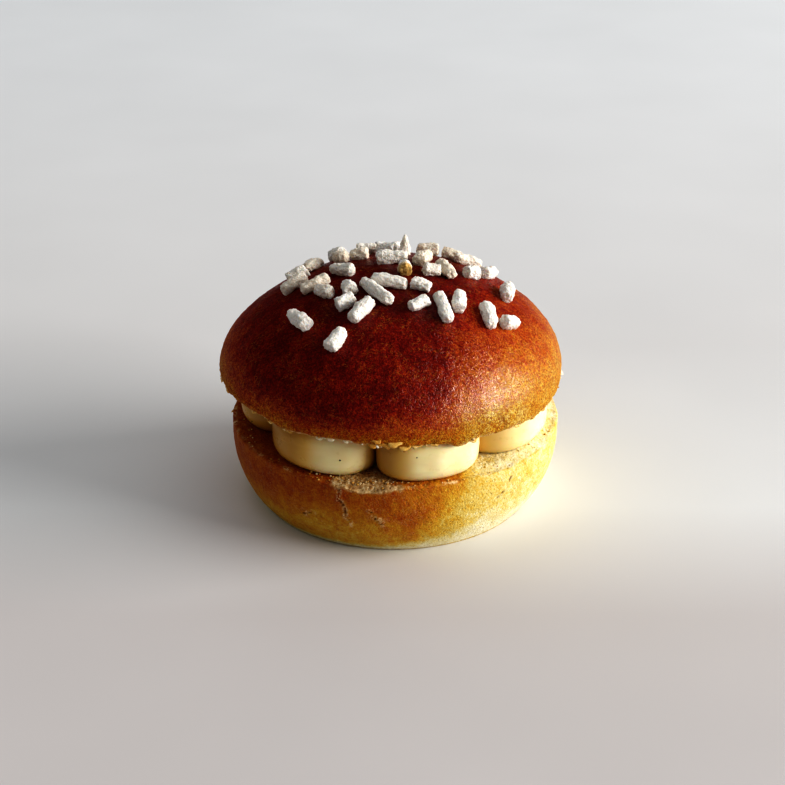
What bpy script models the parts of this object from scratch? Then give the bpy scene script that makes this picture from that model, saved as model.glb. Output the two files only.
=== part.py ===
"""An individual tarte tropezienne: a small round brioche, split, filled with piped cream and
sprinkled with pearl sugar. Metres, +Z up, standing on its flat base at the origin.
The front of the cake faces -Y; bearings are degrees from the front, positive towards +X."""

import math
import random

import bmesh
import bpy
from mathutils import Matrix, Vector, noise

MM = 0.001

# Driving dimensions
BASE_RADIUS = 30.4 * MM  # the flat foot that the brioche was baked on
LOWER_RADIUS = 36.3 * MM  # widest girth of the lower half
LOWER_WIDE_HEIGHT = 15.8 * MM
LOWER_CUT_HEIGHT = 18.8 * MM  # where the knife went through, below the cream
UPPER_CUT_HEIGHT = 28.2 * MM  # underside of the upper half, above the cream
UPPER_RADIUS = 37.6 * MM  # widest girth of the upper half
UPPER_EDGE_RADIUS = 37.2 * MM  # the crust tucks in a little down to the cut
UPPER_WIDE_HEIGHT = 30.8 * MM
LOWER_CUT_SLOPE = (-0.5 * MM, -30)  # how far the cut rises at the rim, and towards which bearing
UPPER_CUT_SLOPE = (0.8 * MM, -80)
CROWN_HEIGHT = 52.3 * MM  # top of the dome, without sugar
CROWN_LEAN = 0.7 * MM  # the crown sits this far to the right
DOME_POWER = 1.84  # 2 is an ellipse, less has flatter flanks
AXIS_SHIFT = 0.5 * MM  # the lower half sits a little to the right of the upper one
SIDE_POWER = 2.15  # 2 is an ellipse, more is squarer
RIM_ROUNDING = 0.6 * MM
CONTACT_GAP = 0.3 * MM
CENTRE_SHIFT = 0.35 * MM  # brings the middle of the whole cake onto the Z axis

# The dough rose unevenly: each lobe is (times round, size, bearing of its crest)
UPPER_LOBES = ((1, 0.15 * MM, -100), (2, 0.35 * MM, 85), (3, 0.15 * MM, 20), (5, 0.1 * MM, 50))
LOWER_LOBES = ((2, 0.15 * MM, 60), (3, 0.25 * MM, -30), (4, 0.15 * MM, 10))
SWELL_LENGTH = 16 * MM
SWELL_HEIGHT = 0.45 * MM

# Where the rims are torn or ragged: each is (bearing, rise, half width in degrees)
UPPER_RIM_WAVES = ((-50, 0.4 * MM, 9), (-37, -0.7 * MM, 6), (-17, 0.5 * MM, 5), (3, -0.7 * MM, 4),
                   (22.5, -1.3 * MM, 4), (54, -0.6 * MM, 8), (120, -0.6 * MM, 8), (165, 0.6 * MM, 14), (-135, -0.5 * MM, 6))
LOWER_RIM_WAVES = ((-10, -1.5 * MM, 8), (-24, -0.4 * MM, 5), (31, 0.5 * MM, 6), (80, 0.3 * MM, 10),
                   (118, -0.7 * MM, 9), (175, 0.4 * MM, 12), (-130, -0.6 * MM, 8))
RIM_CRAG = 0.18 * MM
RIM_CRAG_LENGTH = 2.2 * MM

# Piped cream: mounds side by side all round, pressed together and flattened by the upper half
CREAM_RADIUS = 34.8 * MM
MOUND_EDGES = (-61, -8, 38, 92, 144, 195, 246)  # bearings of the clefts between the mounds
MOUND_REACH = (0.8 * MM, 1.0 * MM, 0.4 * MM, -0.3 * MM, 0.2 * MM, -0.4 * MM, -0.5 * MM)
MOUND_PEAKS = (0.53, 0.46, 0.5, 0.52, 0.46, 0.5, 0.54)  # where each mound stands out most, between its clefts
MOUND_POWER = 2.3  # 2 is an ellipse, more is fuller towards the clefts
CLEFT_DEPTH = 9.0 * MM
CREAM_TUCK = 1.0 * MM  # how far the cream's side draws in at its top and bottom

# Pearl sugar
GRAIN_GIRTH = 3.2 * MM
GRAIN_LENGTH = (3.4 * MM, 8.2 * MM)  # shortest and longest of the scattered grains
GRAIN_SUNK = 0.16  # share of its girth that is baked into the crust
GRAIN_SEED = 23
GRAIN_SIDES = 6
CAP_REACH = 25.0 * MM  # how far down the dome the sugar goes
SCATTER_STEPS = 80
SCATTER_JITTER = 1.6 * MM
SCATTER_BEARING = 100  # the scatter lies further round the back than this
GRAIN_SPACING = 3.7 * MM
GOLDEN_ANGLE = math.pi * (3 - math.sqrt(5))
# The grains that lie apart: (bearing, reach from the axis, turn from downhill, length), the front
# and sides first, then the crown
SET_GRAINS = (
    (-53, 24.2, 84, 6.8), (-26, 25.8, 169, 5.8), (-21, 17.6, 163, 7.2), (-17, 10.9, 52, 11.2),
    (-3, 7.0, 74, 8.2), (-49, 12.0, 62, 3.6), (-37, 16.2, 156, 4.4), (-64, 16.0, 106, 5.4),
    (-80, 16.6, 12, 7.2), (-92, 21.0, 29, 6.6), (-98, 10.8, 152, 6.2), (38, 10.0, 30, 4.4),
    (21, 15.5, 106, 4.8), (36, 18.1, 159, 9.4), (50, 18.2, 127, 6.4), (57, 24.1, 137, 7.2),
    (63.5, 27.6, 57, 4.4), (88.5, 24.7, 86, 6.2),
    (-107, 21.6, 35, 5.0), (-122, 20.4, 82, 5.6), (-133, 15.2, 15, 3.6), (-148, 13.6, 50, 4.2),
    (-164, 20.4, 80, 4.8), (-176, 16.6, 61, 4.6), (179, 5.2, 90, 7.2), (70, 3.0, 110, 4.0),
    (130, 8.8, 25, 6.6), (93, 11.4, 113, 6.6), (82, 8.6, 20, 3.8), (100, 17.4, 31, 3.8),
    (112, 22.6, 36, 5.4), (131, 22.2, 164, 7.4), (144, 22.6, 110, 4.6), (157, 20.6, 105, 5.0),
)
STANDING_GRAIN = (169, 15.4, 5.2)  # one stands on its end: bearing, reach and length

ROUND_STEPS = 80
SIDE_STEPS = 9
DOME_STEPS = 14
MOUND_STEPS = 12
CREAM_LEVELS = 7


def clear_scene():
    for thing in list(bpy.data.objects):
        bpy.data.objects.remove(thing)


def baked_material(name, colour, roughness):
    material = bpy.data.materials.new(name)
    material.use_nodes = True
    shader = material.node_tree.nodes["Principled BSDF"]
    shader.inputs["Base Color"].default_value = (*colour, 1)
    shader.inputs["Roughness"].default_value = roughness
    shader.inputs["Metallic"].default_value = 0
    return material


def node_from(name, mesh_in_progress, material):
    """Turns a bmesh into one object of the scene."""
    mesh = bpy.data.meshes.new(name)
    mesh_in_progress.to_mesh(mesh)
    mesh_in_progress.free()
    mesh.materials.append(material)
    thing = bpy.data.objects.new(name, mesh)
    bpy.context.scene.collection.objects.link(thing)
    return thing


def wrapped(degrees):
    """The same bearing between -180 and 180."""
    return (degrees + 180) % 360 - 180


def bearing_of(x, y):
    return math.degrees(math.atan2(x, -y))


def from_bearing(degrees, reach):
    angle = math.radians(degrees)
    return Vector((reach * math.sin(angle), -reach * math.cos(angle), 0))


def lobed(lobes, degrees):
    """How much further out the crust stands at this bearing."""
    return sum(size * math.cos(math.radians(times * (degrees - crest))) for times, size, crest in lobes)


def rim_wave(waves, degrees):
    """How much higher the knife's cut lies at this bearing."""
    return sum(rise * math.exp(-((wrapped(degrees - at) / half_width) ** 2)) for at, rise, half_width in waves)


def crag(x, y, z):
    return noise.noise(Vector((x, y, z)) / RIM_CRAG_LENGTH)


def cut_rise(slope, x, y):
    """The knife did not go quite level: its rise at a place, from the rise at the rim."""
    rise, bearing = slope
    return rise * Vector((x, y, 0)).dot(from_bearing(bearing, 1)) / LOWER_RADIUS


def lower_side(height):
    """Girth of the lower half at a height: a superellipse from the foot to the widest place."""
    foot_share = 1 - (BASE_RADIUS / LOWER_RADIUS) ** SIDE_POWER
    depth = max(0.0, (LOWER_WIDE_HEIGHT - height) / LOWER_WIDE_HEIGHT)
    return LOWER_RADIUS * (1 - foot_share * depth**SIDE_POWER) ** (1 / SIDE_POWER)


def upper_side(height):
    """Girth of the tucked-in edge, from the cut up to the widest place."""
    depth = (UPPER_WIDE_HEIGHT - height) / (UPPER_WIDE_HEIGHT - UPPER_CUT_HEIGHT)
    return UPPER_RADIUS - (UPPER_RADIUS - UPPER_EDGE_RADIUS) * depth**2


def upper_lobe(reach, degrees):
    """The dome's lobes, full at its widest place and fading quickly towards the top."""
    return lobed(UPPER_LOBES, degrees) * min(1.0, reach / UPPER_RADIUS) ** 4


def dome_share(reach, degrees):
    """Height on the dome from 0 at its widest place to 1 at the top, this far from the axis."""
    share = min(1.0, reach / (UPPER_RADIUS + upper_lobe(reach, degrees)))
    return (1 - share**DOME_POWER) ** (1 / DOME_POWER)


def swell(x, y):
    return SWELL_HEIGHT * noise.noise(Vector((x, y, 0)) / SWELL_LENGTH)


def crust_height(x, y):
    lean = CROWN_LEAN * dome_share(math.hypot(x, y), bearing_of(x, y))
    share = dome_share(math.hypot(x - lean, y), bearing_of(x - lean, y))
    return UPPER_WIDE_HEIGHT + (CROWN_HEIGHT - UPPER_WIDE_HEIGHT) * share + swell(x, y) * share


def crust_normal(x, y, step=0.5 * MM):
    slope_x = (crust_height(x + step, y) - crust_height(x - step, y)) / (2 * step)
    slope_y = (crust_height(x, y + step) - crust_height(x, y - step)) / (2 * step)
    return Vector((-slope_x, -slope_y, 1)).normalized()


def turned(profile, steps=ROUND_STEPS):
    """A closed body of revolution about Z from (radius, height) points that run from axis to axis."""
    body = bmesh.new()
    points = [body.verts.new((radius, 0, height)) for radius, height in profile]
    edges = [body.edges.new(pair) for pair in zip(points, points[1:])]
    bmesh.ops.spin(body, geom=points + edges, cent=(0, 0, 0), axis=(0, 0, 1),
                   angle=2 * math.pi, steps=steps, use_merge=True)
    bmesh.ops.remove_doubles(body, verts=body.verts, dist=0.01 * MM)
    bmesh.ops.recalc_face_normals(body, faces=body.faces)
    return body


def lower_half(material):
    top = LOWER_CUT_HEIGHT
    heights = [(top - RIM_ROUNDING) * step / SIDE_STEPS for step in range(SIDE_STEPS + 1)]
    profile = [(0, 0)] + [(lower_side(height), height) for height in heights]
    profile += [(LOWER_RADIUS - RIM_ROUNDING, top), (CREAM_RADIUS, top), (0, top)]
    body = turned(profile)
    for point in body.verts:
        x, y, z = point.co
        if z == 0:
            continue
        reach = math.hypot(x, y)
        degrees = bearing_of(x, y)
        near_rim = min(1.0, max(0.0, (reach - CREAM_RADIUS) / (LOWER_RADIUS - RIM_ROUNDING - CREAM_RADIUS)))
        lift = rim_wave(LOWER_RIM_WAVES, degrees) + RIM_CRAG * crag(x, y, z)
        spot = from_bearing(degrees, reach + lobed(LOWER_LOBES, degrees) * reach / LOWER_RADIUS)
        spot.z = z + (near_rim * lift + cut_rise(LOWER_CUT_SLOPE, x, y)) * (z / top) ** 8
        point.co = spot + Vector((AXIS_SHIFT, 0, 0))
    return node_from("lower_half", body, material)


def upper_profile():
    """Outline of the upper half from the middle of its cut underside to the top of the dome."""
    low = UPPER_CUT_HEIGHT
    middle = (low + UPPER_WIDE_HEIGHT) / 2
    profile = [(0, low), (CREAM_RADIUS, low), (UPPER_EDGE_RADIUS - RIM_ROUNDING, low)]
    profile += [(upper_side(height), height) for height in (low + RIM_ROUNDING, middle)]
    for step in range(DOME_STEPS):
        angle = math.pi / 2 * step / DOME_STEPS
        rise = (CROWN_HEIGHT - UPPER_WIDE_HEIGHT) * math.sin(angle) ** (2 / DOME_POWER)
        profile.append((UPPER_RADIUS * math.cos(angle) ** (2 / DOME_POWER), UPPER_WIDE_HEIGHT + rise))
    return profile + [(0, CROWN_HEIGHT)]


def upper_crust():
    """The dome and its cut underside, without sugar."""
    body = turned(upper_profile())
    for point in body.verts:
        x, y, z = point.co
        reach = math.hypot(x, y)
        degrees = bearing_of(x, y)
        spot = from_bearing(degrees, reach + upper_lobe(reach, degrees))
        if z >= UPPER_WIDE_HEIGHT:
            spot.z = crust_height(spot.x, spot.y)
        else:
            near_rim = max(0.0, (reach - CREAM_RADIUS) / (UPPER_EDGE_RADIUS - CREAM_RADIUS))
            fade = (UPPER_WIDE_HEIGHT - z) / (UPPER_WIDE_HEIGHT - UPPER_CUT_HEIGHT)
            lift = rim_wave(UPPER_RIM_WAVES, degrees) + RIM_CRAG * crag(x, y, z)
            spot.z = z + (min(1.0, near_rim) * lift + cut_rise(UPPER_CUT_SLOPE, x, y)) * fade
        point.co = spot
    return body


def scattered_grains(rng):
    """Golden-angle spots over the cap, each nudged, turned and cut to length by a seeded draw."""
    for step in range(SCATTER_STEPS):
        reach = CAP_REACH * math.sqrt((step + 0.5) / SCATTER_STEPS)
        degrees = wrapped(math.degrees(step * GOLDEN_ANGLE))
        nudge = from_bearing(rng.uniform(-180, 180), rng.uniform(0, SCATTER_JITTER))
        spot = from_bearing(degrees, reach) + nudge
        yield spot, bearing_of(spot.x, spot.y), rng.uniform(0, 180), rng.triangular(*GRAIN_LENGTH)


def on_crust(spot, along, height):
    """Frame of a grain whose centre lies this high above the crust, its long axis as given."""
    up = crust_normal(spot.x, spot.y)
    centre = Vector((spot.x, spot.y, crust_height(spot.x, spot.y))) + up * height
    side = up.cross(along) if abs(up.dot(along)) < 0.9 else Vector((1, 0, 0)).cross(along)
    axes = Matrix((along, side.normalized(), along.cross(side).normalized())).transposed()
    return Matrix.Translation(centre) @ axes.to_4x4()


def lying(spot, degrees, turn, girth):
    """Frame of a grain that lies on the crust, its long axis turned from downhill."""
    up = crust_normal(spot.x, spot.y)
    downhill = from_bearing(degrees, 1)
    downhill = (downhill - up * downhill.dot(up)).normalized()
    across = up.cross(downhill)
    along = downhill * math.cos(math.radians(turn)) + across * math.sin(math.radians(turn))
    return on_crust(spot, along, girth * (0.5 - GRAIN_SUNK))


def ends_of(frame, length):
    half = frame.col[0].to_3d() * length * 0.36
    return frame.translation - half, frame.translation + half


def lies_clear(frame, length, laid):
    """True if a grain keeps its distance from every grain that already lies there."""
    return all((a - b).length > GRAIN_SPACING
               for other, other_length, _ in laid
               for a in (*ends_of(frame, length), frame.translation)
               for b in (*ends_of(other, other_length), other.translation))


def laid_grains():
    """Every grain as (frame, length, girth): the set ones, then the scatter that keeps clear."""
    rng = random.Random(GRAIN_SEED)
    laid = []
    for bearing, reach, turn, length in SET_GRAINS:
        girth = GRAIN_GIRTH * rng.uniform(0.92, 1.1)
        laid.append((lying(from_bearing(bearing, reach * MM), bearing, turn, girth), length * MM, girth))
    bearing, reach, length = STANDING_GRAIN
    spot = from_bearing(bearing, reach * MM)
    standing = on_crust(spot, crust_normal(spot.x, spot.y), (length / 2 - 0.8) * MM)
    laid.append((standing, length * MM, GRAIN_GIRTH * 0.85))
    for spot, degrees, turn, length in scattered_grains(rng):
        girth = GRAIN_GIRTH * rng.uniform(0.82, 1.1)
        frame = lying(spot, degrees, turn, girth)
        if abs(degrees) > SCATTER_BEARING and lies_clear(frame, length, laid):
            laid.append((frame, length, girth))
    return laid


def grain_body(frame, length, girth, rng):
    """A stubby rod with blunt ends and uneven sides."""
    body = bmesh.new()
    bmesh.ops.create_cone(body, cap_ends=True, segments=GRAIN_SIDES, radius1=girth / 2,
                          radius2=girth / 2, depth=length - girth * 0.36)
    caps = [face for face in body.faces if len(face.verts) == GRAIN_SIDES]
    bmesh.ops.inset_individual(body, faces=caps, thickness=girth * 0.16, depth=girth * 0.18)
    bmesh.ops.rotate(body, verts=body.verts, matrix=Matrix.Rotation(math.pi / 2, 3, "Y"))
    for point in body.verts:
        point.co += Vector(rng.uniform(-1, 1) for _ in range(3)) * girth * 0.05
    body.transform(frame)
    return body


def union_of(name, bodies, material):
    """One solid from overlapping bodies, by a single Boolean union."""
    first, *rest = bodies
    whole = node_from(name, first, material)
    parts = bpy.data.collections.new(f"{name}_parts")
    bpy.context.scene.collection.children.link(parts)
    for number, body in enumerate(rest):
        part = node_from(f"{name}_part_{number}", body, material)
        bpy.context.scene.collection.objects.unlink(part)
        parts.objects.link(part)
    join = whole.modifiers.new("join", "BOOLEAN")
    join.operation = "UNION"
    join.operand_type = "COLLECTION"
    join.collection = parts
    join.solver = "EXACT"
    bpy.context.view_layer.update()
    evaluated = whole.evaluated_get(bpy.context.evaluated_depsgraph_get())
    joined = bpy.data.meshes.new_from_object(evaluated)
    whole.modifiers.remove(join)
    for part in list(parts.objects):
        bpy.data.objects.remove(part)
    bpy.data.collections.remove(parts)
    whole.data = joined
    return whole


def islands(body):
    """The connected pieces of a bmesh, as lists of faces."""
    left = set(body.faces)
    while left:
        found, reached = [], [left.pop()]
        while reached:
            face = reached.pop()
            found.append(face)
            for edge in face.edges:
                for neighbour in edge.link_faces:
                    if neighbour in left:
                        left.remove(neighbour)
                        reached.append(neighbour)
        yield found


def keep_one_body(whole):
    """Fills the sealed hollows and drops the scraps that a union leaves, all but the largest shell."""
    body = bmesh.new()
    body.from_mesh(whole.data)
    shells = sorted(islands(body), key=len)
    scraps = [face for shell in shells[:-1] for face in shell]
    bmesh.ops.delete(body, geom=scraps, context="FACES")
    body.to_mesh(whole.data)
    body.free()


def upper_half(material):
    grains = [grain_body(frame, length, girth, random.Random(GRAIN_SEED + number))
              for number, (frame, length, girth) in enumerate(laid_grains())]
    whole = union_of("upper_half", [upper_crust(), *grains], material)
    keep_one_body(whole)
    return whole


def cream_reach(number, share):
    """How far out mound number stands, share of the way from its first cleft to its next."""
    across = abs(2 * share ** (math.log(0.5) / math.log(MOUND_PEAKS[number])) - 1)
    dip = 1 - max(0.0, 1 - across**MOUND_POWER) ** (1 / MOUND_POWER)
    before = MOUND_REACH[number - 1]
    after = MOUND_REACH[(number + 1) % len(MOUND_REACH)]
    own = MOUND_REACH[number]
    neighbour = before if share < 0.5 else after
    meeting = min(own, neighbour) - CLEFT_DEPTH
    return CREAM_RADIUS + own + (meeting - own) * dip


def cream_filling(material):
    """The ring of mounds as one body, clear of both halves by the contact gap."""
    low, high = LOWER_CUT_HEIGHT + CONTACT_GAP, UPPER_CUT_HEIGHT - CONTACT_GAP
    levels = [2 * level / CREAM_LEVELS - 1 for level in range(CREAM_LEVELS + 1)]
    profile = [(0, -1)] + [(1, level) for level in levels] + [(0, 1)]
    steps = MOUND_STEPS * len(MOUND_EDGES)
    body = turned(profile, steps)
    for point in body.verts:
        x, y, level = point.co
        step = round(bearing_of(x, y) / 360 * steps) % steps
        number, part = divmod(step, MOUND_STEPS)
        share = (1 - math.cos(math.pi * part / MOUND_STEPS)) / 2  # closer together towards the clefts
        first, last = (*MOUND_EDGES, MOUND_EDGES[0] + 360)[number:number + 2]
        reach = (cream_reach(number, share) - CREAM_TUCK * abs(level) ** 3) if x or y else 0
        spot = from_bearing(first + (last - first) * share, reach)
        bottom = low + cut_rise(LOWER_CUT_SLOPE, spot.x, spot.y)
        top = high + cut_rise(UPPER_CUT_SLOPE, spot.x, spot.y)
        point.co = spot + Vector((AXIS_SHIFT, 0, bottom + (top - bottom) * (level + 1) / 2))
    return node_from("cream_filling", body, material)


def finish(things):
    """Centres the cake and smooths its round sides."""
    for thing in things:
        thing.data.transform(Matrix.Translation((CENTRE_SHIFT, 0, 0)))
        thing.data.shade_smooth()
        thing.data.set_sharp_from_angle(angle=math.radians(40))


def main():
    clear_scene()
    golden_crumb = baked_material("golden_brioche", (0.62, 0.33, 0.09), 0.7)
    brown_crust = baked_material("browned_crust", (0.25, 0.055, 0.014), 0.35)
    cream = baked_material("piped_cream", (0.82, 0.7, 0.42), 0.4)
    finish([lower_half(golden_crumb), cream_filling(cream), upper_half(brown_crust)])


main()
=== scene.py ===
"""A tarte tropezienne in its dress: browned brioche, piped cream and pearl sugar, on a pale table.
Metres, +Z up. The front of the cake faces -Y; bearings are degrees from the front, positive towards +X."""

import math
import random

import bmesh
import bpy
from mathutils import Matrix, Vector, noise
from mathutils.bvhtree import BVHTree


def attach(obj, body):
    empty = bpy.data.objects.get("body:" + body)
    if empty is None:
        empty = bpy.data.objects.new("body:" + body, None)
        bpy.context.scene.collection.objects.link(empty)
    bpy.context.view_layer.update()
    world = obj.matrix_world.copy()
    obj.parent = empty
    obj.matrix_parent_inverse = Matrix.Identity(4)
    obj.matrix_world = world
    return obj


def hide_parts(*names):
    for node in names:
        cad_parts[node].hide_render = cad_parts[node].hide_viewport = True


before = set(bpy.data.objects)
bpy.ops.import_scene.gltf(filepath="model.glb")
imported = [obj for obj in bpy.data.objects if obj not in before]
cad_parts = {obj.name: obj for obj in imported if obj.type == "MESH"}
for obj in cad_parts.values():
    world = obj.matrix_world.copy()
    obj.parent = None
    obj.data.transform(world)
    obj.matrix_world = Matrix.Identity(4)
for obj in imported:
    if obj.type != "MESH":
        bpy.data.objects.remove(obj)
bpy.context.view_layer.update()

MM = 0.001

# ---- the cake's own measures
BASE_RADIUS = 30.4 * MM
LOWER_RADIUS = 36.3 * MM
LOWER_WIDE_HEIGHT = 15.8 * MM
LOWER_CUT_HEIGHT = 18.8 * MM
UPPER_CUT_HEIGHT = 28.2 * MM
UPPER_RADIUS = 37.6 * MM
UPPER_EDGE_RADIUS = 37.2 * MM
UPPER_WIDE_HEIGHT = 30.8 * MM
LOWER_CUT_SLOPE = (-0.5 * MM, -30)
UPPER_CUT_SLOPE = (0.8 * MM, -80)
CROWN_HEIGHT = 52.3 * MM
CROWN_LEAN = 0.7 * MM
DOME_POWER = 1.84
AXIS_SHIFT = 0.5 * MM
SIDE_POWER = 2.15
RIM_ROUNDING = 0.6 * MM
CONTACT_GAP = 0.3 * MM
CENTRE_SHIFT = 0.35 * MM

UPPER_LOBES = ((1, 0.15 * MM, -100), (2, 0.35 * MM, 85), (3, 0.15 * MM, 20), (5, 0.1 * MM, 50))
LOWER_LOBES = ((2, 0.15 * MM, 60), (3, 0.25 * MM, -30), (4, 0.15 * MM, 10))
SWELL_LENGTH = 16 * MM
SWELL_HEIGHT = 0.45 * MM

# Waves of a rim: (bearing, rise in mm, half width in degrees)
UPPER_RIM_WAVES = ((-50, 0.4, 9), (-37, -0.7, 6), (-17, 0.5, 5), (3, -0.7, 4), (22.5, -1.3, 4), (54, -0.6, 8),
                   (120, -0.6, 8), (165, 0.6, 14), (-135, -0.5, 6))
LOWER_RIM_WAVES = ((-10, -1.5, 8), (-24, -0.4, 5), (31, 0.5, 6), (80, 0.3, 10), (118, -0.7, 9), (175, 0.4, 12),
                   (-130, -0.6, 8))
RIM_CRAG = 0.18 * MM
RIM_CRAG_LENGTH = 2.2 * MM
UPPER_TEARS = ((0.26 * MM, 0.9 * MM, 4), (0.2 * MM, 2.4 * MM, 5))  # the finer unevenness: (height, length, seed)
LOWER_TEARS = ((0.22 * MM, 1.0 * MM, 6),)
UPPER_HIDDEN = 24 * MM  # further in than this, the cream hides the cut faces, and their meshes are coarse
LOWER_HIDDEN = 29 * MM

CREAM_RADIUS = 34.8 * MM
MOUND_EDGES = (-61, -8, 38, 92, 144, 195, 246)
MOUND_REACH = (0.8 * MM, 1.0 * MM, 0.4 * MM, -0.3 * MM, 0.2 * MM, -0.4 * MM, -0.5 * MM)
MOUND_PEAKS = (0.53, 0.46, 0.5, 0.52, 0.46, 0.5, 0.54)  # where each stands out most, between its clefts
MOUND_POWER = 2.3  # 2 is an ellipse, more is fuller towards the clefts
CLEFT_DEPTH = 9.0 * MM
CREAM_TUCK = 1.7 * MM
# Painted shade on the cream: how strongly its colour is darkened in the clefts and on the open mounds that lie
# in shade, through (bearing, value) stops
CLEFT_PAINTED_SHADE = ((-150, 0.7), (-61, 1.0), (-20, 1.0), (4, 0.9), (26, 0.5), (60, 0.34), (140, 0.6))
CREAM_PAINTED_SHADE = ((-150, 0.2), (-110, 0.4), (-84, 0.66), (-54, 0.85), (-38, 0.74), (-21, 0.0), (150, 0.1))

GRAIN_GIRTH = 3.2 * MM
NIB_GIRTH = 0.92  # of the room that is kept for it
GRAIN_LENGTH = (3.4 * MM, 8.2 * MM)
GRAIN_SUNK = 0.16
GRAIN_SEED = 23
CAP_REACH = 25.0 * MM
SCATTER_STEPS = 80
SCATTER_JITTER = 1.6 * MM
SCATTER_BEARING = 100
GRAIN_SPACING = 3.7 * MM
GOLDEN_ANGLE = math.pi * (3 - math.sqrt(5))
# The nibs that lie in a known place: (bearing, reach in mm, turn from downhill, length in mm)
SET_GRAINS = (
    (-53, 24.2, 84, 6.8), (-26, 25.8, 169, 5.8), (-21, 17.6, 163, 7.2), (-17, 10.9, 52, 11.2),
    (-3, 7.0, 74, 8.2), (-49, 12.0, 62, 3.6), (-37, 16.2, 156, 4.4), (-64, 16.0, 106, 5.4),
    (-80, 16.6, 12, 7.2), (-92, 21.0, 29, 6.6), (-98, 10.8, 152, 6.2), (38, 10.0, 30, 4.4),
    (21, 15.5, 106, 4.8), (36, 18.1, 159, 9.4), (50, 18.2, 127, 6.4), (57, 24.1, 137, 7.2),
    (63.5, 27.6, 57, 4.4), (88.5, 24.7, 86, 6.2),
    (-107, 21.6, 35, 5.0), (-122, 20.4, 82, 5.6), (-133, 15.2, 15, 3.6), (-148, 13.6, 50, 4.2),
    (-164, 20.4, 80, 4.8), (-176, 16.6, 61, 4.6), (179, 5.2, 90, 7.2), (70, 3.0, 110, 4.0),
    (130, 8.8, 25, 6.6), (93, 11.4, 113, 6.6), (82, 8.6, 20, 3.8), (100, 17.4, 31, 3.8),
    (112, 22.6, 36, 5.4), (131, 22.2, 164, 7.4), (144, 22.6, 110, 4.6), (157, 20.6, 105, 5.0),
)
STANDING_GRAIN = (169, 15.4, 5.2)  # this one stands on end: (bearing, reach, length)
NIB_WARMTH = 0.3  # the most that the nibs of the crown and back are tinted
CARAMEL_GRAIN = 25  # this one of the set grains took a tint from the crust

# ---- how fine each piece is made
ROUND_STEPS = 560
DOME_STEPS = 112
SIDE_STEPS = 52
MOUND_STEPS = 60
CREAM_LEVELS = 30
NIB_CUTS = 16

# ---- how the bun baked
# Each of these runs smoothly round the cake through (bearing, value) stops.
# Bake 0 is pale dough and 1 is black-brown.
# How high the upper half's paler band reaches in mm, and the bake at its rim, on its flank and on its crown
UPPER_GOLD = ((-150, 6), (-90, 8.5), (-50, 4.6), (-10, 3.6), (14, 5.6), (30, 12), (46, 14), (70, 13.5),
              (100, 13.5), (150, 7))
UPPER_RIM_BAKE = ((-150, 0.26), (-90, 0.34), (-50, 0.38), (-20, 0.38), (5, 0.34), (20, 0.27), (40, 0.11),
                  (65, 0.15), (100, 0.18), (150, 0.24))
FLANK_BAKE = 0.88
CROWN_BAKE = 1.06
CROWN_REACH = (10 * MM, 26 * MM)  # the crown turns into the flank between these
# The gloss of the egg wash
EGG_WASH = ((-150, 0.6), (-90, 0.08), (-45, 0.16), (-15, 0.25), (8, 0.35), (22, 0.75), (34, 0.75), (43, 0.45),
            (56, 0.2), (110, 0.4))
# The height in mm where the lower half's brown fades, the bake below it and in it, and the pale foot's height
LOWER_BROWN = ((-150, 8), (-90, 7), (-45, 8), (-25, 10), (-8, 9), (0, 6), (6, 4), (13, 9), (20, 15), (28, 21),
               (38, 25), (110, 25), (150, 12))
LOWER_TONE = ((-150, 0.28), (-90, 0.38), (-45, 0.36), (-8, 0.32), (8, 0.34), (18, 0.25), (28, 0.14), (45, 0.10),
              (90, 0.08), (150, 0.18))
LOWER_DARK = ((-150, 0.66), (-60, 0.72), (-20, 0.70), (-5, 0.62), (10, 0.52), (60, 0.45), (150, 0.6))
PALE_FOOT = ((-150, 3), (-60, 1.6), (-10, 2.6), (14, 6), (40, 13), (100, 12))
FOOT_FADE = 0.16  # how far the foot's bake goes below nought
HIDDEN_BAKE = 0.3  # the bake underneath
# How many mm are worn off the edge of the lower rim
WORN_RIM = ((-150, 0.3), (-60, 0), (15, 0), (38, 1.0), (100, 1.0), (140, 0.3))
WORN_FADE = 0.14  # what is worn is paler by this
BARE_CRUMB = ((-10, 12), (118, 11), (-130, 10), (175, 8))  # where it shows its crumb: (bearing, half width)
# Fine cracks with raised, flaky lips: chains of (bearing, height in mm)
LOWER_CRACKS = (((-19.6, 17.6), (-18.8, 14.6), (-16.8, 12.8), (-16.9, 10.6), (-14.8, 8.2)),
                ((-33, 8.5), (-29, 9.6)), ((-8, 12.5), (-4, 9.0)), ((96, 16.5), (99, 12), (97, 9)),
                ((-121, 17), (-118, 13.5)), ((160, 15), (163, 11), (161, 8)))
# Creases, which only sink in
LOWER_CREASES = (((38, 11.5), (41.5, 13.2), (44.5, 16.5)), ((-75, 12), (-71, 9.5)), ((130, 14), (134, 10.5)))
UPPER_CREASES = (((36.5, 32.2), (38.4, 30.6), (39.2, 29.2)), ((-96, 33), (-93, 30.5)), ((140, 34), (143, 31)))
CRACK_WIDTH = 0.38 * MM
CHAIN_SPAN = 12  # no chain runs further round the cake than this from its first place

# Depths and heights in mm
WRINKLE = 0.07
UPPER_CREASE = 0.25
LIP_RISE = 0.20
CRACK_DEPTH = 0.2
LOWER_SWELLS = ((0.14, 4 * MM, 7), (0.07, 1.2 * MM, 5))
PIT_DEPTH = (0.22, 0.34)  # on the cut face, and how much more where crumb shows

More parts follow.
